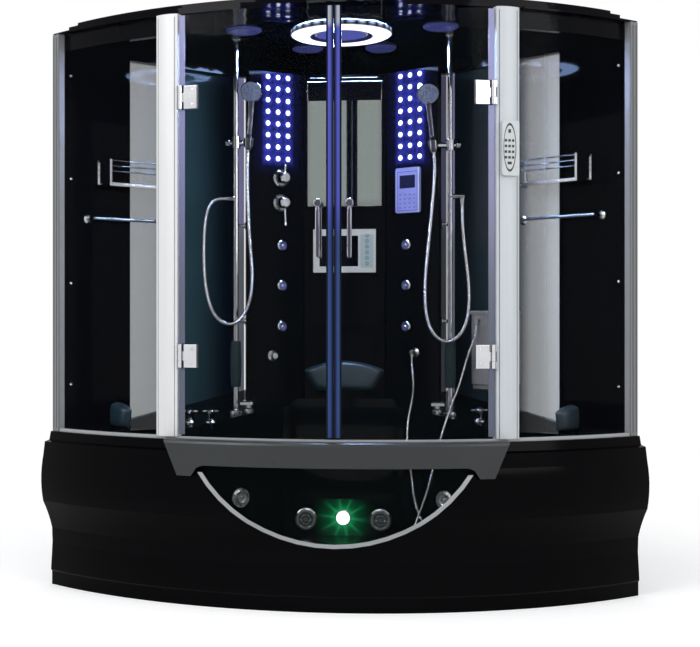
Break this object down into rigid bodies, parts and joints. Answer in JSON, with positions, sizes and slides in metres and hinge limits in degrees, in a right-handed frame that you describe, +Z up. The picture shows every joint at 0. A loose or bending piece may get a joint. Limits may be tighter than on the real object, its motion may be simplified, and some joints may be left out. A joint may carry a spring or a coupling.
{
  "type": "steam shower cabin with bath",
  "caption": "Corner steam shower cabin: curved massage bath with window, hinged curved glass doors, control column, hand showers and domed roof",
  "frame": {"origin": "on the floor, under the middle of the cabin's bounding box", "axes": "+Z up, +Y from the doors towards the room's corner, +X to the right when facing the doors"},
  "size_m": [2.3144, 1.609, 2.214],
  "materials": {
    "acrylic_gloss": "polished cast acrylic, black",
    "acrylic_black": "polished black acrylic",
    "brow_charcoal": "satin charcoal",
    "window_acrylic": "clear curved acrylic",
    "silver_trim": "satin anodised",
    "frame_steel": "zinc grey paint",
    "pump_housing": "moulded",
    "foot_rubber": "matt",
    "chrome": "polished",
    "hinge_chrome": "polished",
    "thin_hose_chrome": "spiral wrapped",
    "pane_glass": "tempered, clear",
    "door_glass": "tempered, blue grey tint",
    "wall_clear_glass": "tempered, clear",
    "black_glass": "back painted black, glossy",
    "roof_black": "polished, black",
    "ceiling_plastic": "polished",
    "fan_plastic": "moulded",
    "column_black": "polished acrylic, black",
    "mirror": "silvered",
    "screen_plastic": "polished",
    "led_lens": "translucent blue",
    "panel_plastic": "satin silver",
    "foam": "closed cell foam",
    "cradle_plastic": "chromed",
    "jet_plastic": "chromed",
    "seal_plastic": "translucent vinyl",
    "generator_case": "enamelled",
    "pillow_pu": "soft polyurethane skin, dark blue grey"
  },
  "bodies": {
    "cabin": {"apron": "acrylic_black", "black_panels": "black_glass", "ceiling_fittings": "ceiling_plastic", "control_panel": "panel_plastic", "foam_grips": "foam", "hinge_posts": "hinge_chrome", "hose_left": "chrome", "hose_right": "chrome", "inner_posts": "silver_trim", "led_lenses": "led_lens", "levelling_feet": "foot_rubber", "massage_pump": "pump_housing", "mirror": "mirror", "outer_frame": "silver_trim", "pillows": "pillow_pu", "risers": "chrome", "roof_shell": "roof_black", "shelves": "chrome", "side_glass": "pane_glass", "steam_generator": "generator_case", "thin_hose": "thin_hose_chrome", "threshold_brow": "brow_charcoal", "tower": "column_black", "tub_frame": "frame_steel", "tub_shell": "acrylic_gloss", "tv_unit": "screen_plastic", "wall_glass": "wall_clear_glass", "water_fittings": "chrome", "window_glass": "window_acrylic", "window_trim": "silver_trim"},
    "door_left": {"door_glass_left": "door_glass", "door_seal_left": "seal_plastic", "door_hinges_left": "hinge_chrome", "door_handle_left": "chrome"},
    "door_right": {"door_glass_right": "door_glass", "door_seal_right": "seal_plastic", "door_hinges_right": "hinge_chrome", "door_handle_right": "chrome"},
    "holder_left": {"slider_left": "chrome"},
    "holder_right": {"slider_right": "chrome"},
    "shower_left": {"cradle_left": "cradle_plastic", "hand_shower_left": "chrome"},
    "shower_right": {"cradle_right": "cradle_plastic", "hand_shower_right": "chrome"},
    "mixer": {"mixer_lever": "chrome"},
    "diverter": {"diverter_knob": "chrome"},
    "bath_jet_l": {"bath_jet_left": "jet_plastic"},
    "bath_jet_r": {"bath_jet_right": "jet_plastic"},
    "knob_1": {"deck_knob_1": "chrome"},
    "knob_2": {"deck_knob_2": "chrome"},
    "knob_3": {"deck_knob_3": "chrome"},
    "plug": {"drain_plug": "chrome"},
    "fan": {"fan_rotor": "fan_plastic"},
    "handset": {"remote": "panel_plastic"},
    "jet_left_top": {"body_jet_left_top": "jet_plastic"},
    "jet_left_middle": {"body_jet_left_middle": "jet_plastic"},
    "jet_left_low": {"body_jet_left_low": "jet_plastic"},
    "jet_right_top": {"body_jet_right_top": "jet_plastic"},
    "jet_right_middle": {"body_jet_right_middle": "jet_plastic"},
    "jet_right_low": {"body_jet_right_low": "jet_plastic"}
  },
  "joints": [
    {"name": "door_left_swing", "type": "hinge", "parent": "cabin", "child": "door_left", "pos_m": [-0.56361, -0.64941, 1.373], "axis": [0, 0, -1], "range_deg": [0, 90]},
    {"name": "door_right_swing", "type": "hinge", "parent": "cabin", "child": "door_right", "pos_m": [0.56361, -0.64941, 1.373], "axis": [0, 0, 1], "range_deg": [0, 90]},
    {"name": "holder_left_slide", "type": "slide", "parent": "cabin", "child": "holder_left", "axis": [0, 0, 1], "range_m": [-0.14, 0.12], "deforming": ["hose_left"]},
    {"name": "shower_left_tilt", "type": "hinge", "parent": "holder_left", "child": "shower_left", "pos_m": [-0.384, 0.0045, 1.762], "axis": [1, 0, 0], "range_deg": [-20, 20]},
    {"name": "holder_right_slide", "type": "slide", "parent": "cabin", "child": "holder_right", "axis": [0, 0, 1], "range_m": [-0.14, 0.12], "deforming": ["hose_right"]},
    {"name": "shower_right_tilt", "type": "hinge", "parent": "holder_right", "child": "shower_right", "pos_m": [0.368, 0.0045, 1.742], "axis": [1, 0, 0], "range_deg": [-20, 20]},
    {"name": "mixer_turn", "type": "hinge", "parent": "cabin", "child": "mixer", "pos_m": [-0.2664, 0.1827, 1.53], "axis": [0.6, -0.8, 0], "range_deg": [-45, 45]},
    {"name": "diverter_turn", "type": "hinge", "parent": "cabin", "child": "diverter", "pos_m": [-0.2664, 0.1827, 1.635], "axis": [0.6, -0.8, 0], "range_deg": [-60, 60]},
    {"name": "jet_left_top_turn", "type": "hinge", "parent": "cabin", "child": "jet_left_top", "pos_m": [-0.2616, 0.1863, 1.35], "axis": [0.6, -0.8, 0], "range_deg": [0, 90]},
    {"name": "jet_left_middle_turn", "type": "hinge", "parent": "cabin", "child": "jet_left_middle", "pos_m": [-0.2616, 0.1863, 1.18], "axis": [0.6, -0.8, 0], "range_deg": [0, 90]},
    {"name": "jet_left_low_turn", "type": "hinge", "parent": "cabin", "child": "jet_left_low", "pos_m": [-0.2616, 0.1863, 1.008], "axis": [0.6, -0.8, 0], "range_deg": [0, 90]},
    {"name": "jet_right_top_turn", "type": "hinge", "parent": "cabin", "child": "jet_right_top", "pos_m": [0.2616, 0.1863, 1.35], "axis": [-0.6, -0.8, 0], "range_deg": [0, 90]},
    {"name": "jet_right_middle_turn", "type": "hinge", "parent": "cabin", "child": "jet_right_middle", "pos_m": [0.2616, 0.1863, 1.18], "axis": [-0.6, -0.8, 0], "range_deg": [0, 90]},
    {"name": "jet_right_low_turn", "type": "hinge", "parent": "cabin", "child": "jet_right_low", "pos_m": [0.2616, 0.1863, 1.008], "axis": [-0.6, -0.8, 0], "range_deg": [0, 90]},
    {"name": "bath_jet_left_turn", "type": "hinge", "parent": "cabin", "child": "bath_jet_l", "pos_m": [-0.414, -0.019, 0.308], "axis": [0.6, -0.8, 0], "range_deg": [0, 90]},
    {"name": "bath_jet_right_turn", "type": "hinge", "parent": "cabin", "child": "bath_jet_r", "pos_m": [0.414, -0.019, 0.308], "axis": [-0.6, -0.8, 0], "range_deg": [0, 90]},
    {"name": "knob_1_turn", "type": "hinge", "parent": "cabin", "child": "knob_1", "pos_m": [-0.61, -0.097, 0.62352], "axis": [0, -0.2452, 0.9695], "range_deg": [0, 270]},
    {"name": "knob_2_turn", "type": "hinge", "parent": "cabin", "child": "knob_2", "pos_m": [-0.525, -0.095, 0.62402], "axis": [0, -0.2452, 0.9695], "range_deg": [0, 270]},
    {"name": "knob_3_turn", "type": "hinge", "parent": "cabin", "child": "knob_3", "pos_m": [0.549, -0.06, 0.63287], "axis": [0, -0.2452, 0.9695], "range_deg": [0, 270]},
    {"name": "plug_lift", "type": "slide", "parent": "cabin", "child": "plug", "axis": [0, 0, 1], "range_m": [0, 0.012]},
    {"name": "fan_spin", "type": "hinge", "parent": "cabin", "child": "fan", "pos_m": [-0.155, 0.235, 2.2], "axis": [0, 0, 1], "continuous": true},
    {"name": "handset_pull", "type": "slide", "parent": "cabin", "child": "handset", "axis": [0.3621, -0.9321, 0], "range_m": [0, 0.03]}
  ]
}
